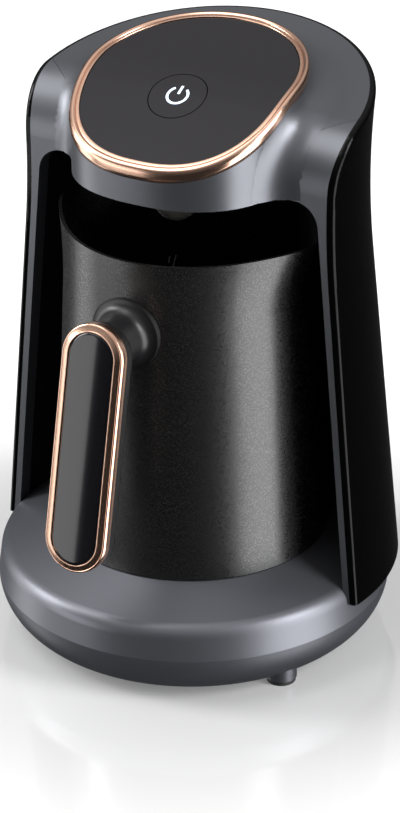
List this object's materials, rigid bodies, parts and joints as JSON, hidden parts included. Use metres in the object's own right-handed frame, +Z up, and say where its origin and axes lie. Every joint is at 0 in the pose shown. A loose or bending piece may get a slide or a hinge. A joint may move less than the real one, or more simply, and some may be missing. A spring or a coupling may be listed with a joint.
{
  "type": "electric coffee maker",
  "caption": "Electric Turkish coffee maker: a lift-out pot with two pouring lips in a dark niche, tilted oval control panel with a power button, round base.",
  "frame": {"origin": "centre of the footprint at floor level", "axes": "+Z up, -Y towards the front (handle and niche opening), +X to the right seen from the front"},
  "size_m": [0.1448, 0.1571, 0.2124],
  "materials": {
    "grey_cover": "satin metallic grey paint on plastic",
    "grey_base": "satin metallic grey paint on plastic",
    "bowl_grey": "satin dark grey plastic",
    "gloss_black": "polished black plastic",
    "niche_black": "fine-grained black plastic",
    "panel_gloss": "glossy charcoal panel",
    "button_gloss": "glossy charcoal key",
    "copper_trim": "polished rose-copper plating",
    "pot_coating": "fine-sparkle black non-stick coating on steel",
    "handle_black": "satin black plastic",
    "insert_gloss": "polished black inlay",
    "black_rubber": "black rubber",
    "seal_silicone": "dark silicone",
    "plate_steel": "dark brushed plate",
    "element_steel": "sheathed tube",
    "zinc_steel": "zinc-plated steel",
    "smoke_lens": "smoky see-through plastic",
    "icon_light": "milky light guide, lit",
    "board_green": "green circuit board",
    "part_black": "moulded black component",
    "part_blue": "blue relay housing",
    "part_white": "white moulded plastic",
    "cable_grey": "grey cable sheath"
  },
  "bodies": {
    "body": {"base_bottom_cover": "bowl_grey", "base_top_cover": "grey_base", "rubber_feet": "black_rubber", "base_screws": "zinc_steel", "heating_plate": "plate_steel", "plate_seal": "seal_silicone", "heating_element": "element_steel", "element_clamp": "zinc_steel", "clamp_screw": "zinc_steel", "plate_thermostat": "zinc_steel", "thermal_fuse": "part_white", "rear_shell": "gloss_black", "niche_liner": "niche_black", "column_screws": "zinc_steel", "front_fascia": "grey_cover", "top_rear_cover": "grey_cover", "head_underside": "niche_black", "underside_screws": "zinc_steel", "sensor_dome": "smoke_lens", "sensor_board": "board_green", "infrared_sensor": "zinc_steel", "copper_ring": "copper_trim", "control_panel": "panel_gloss", "control_board": "board_green", "control_board_screws": "zinc_steel", "tact_switch": "part_black", "button_light": "part_white", "buzzer": "part_black", "power_board": "board_green", "power_board_screws": "zinc_steel", "power_relay": "part_blue", "board_capacitor": "part_black", "terminal_block": "part_white", "cord_inlet": "black_rubber", "column_cable": "cable_grey"},
    "pot": {"coffee_pot": "pot_coating", "handle_grip": "handle_black", "handle_trim": "copper_trim", "handle_insert": "insert_gloss", "handle_stud": "handle_black", "handle_weld_nut": "zinc_steel", "handle_screw": "zinc_steel"},
    "button": {"power_button": "button_gloss", "button_icon_lens": "icon_light"},
    "plunger": {"switch_plunger": "part_white"}
  },
  "joints": [
    {"name": "pot_slide_out", "type": "slide", "parent": "body", "child": "pot", "axis": [0, -1, 0], "range_m": [0, 0.13]},
    {"name": "power_button_press", "type": "slide", "parent": "body", "child": "button", "axis": [0, 0.4226, -0.9063], "range_m": [0, 0.0008], "stiffness_N_per_m": 800, "springref_m": -0.0005},
    {"name": "switch_plunger_travel", "type": "slide", "parent": "body", "child": "plunger", "axis": [0, 0.4226, -0.9063], "range_m": [0, 0.0008]}
  ],
  "couplings": [
    {"joint": "switch_plunger_travel", "follows": "power_button_press", "ratio": 1}
  ]
}
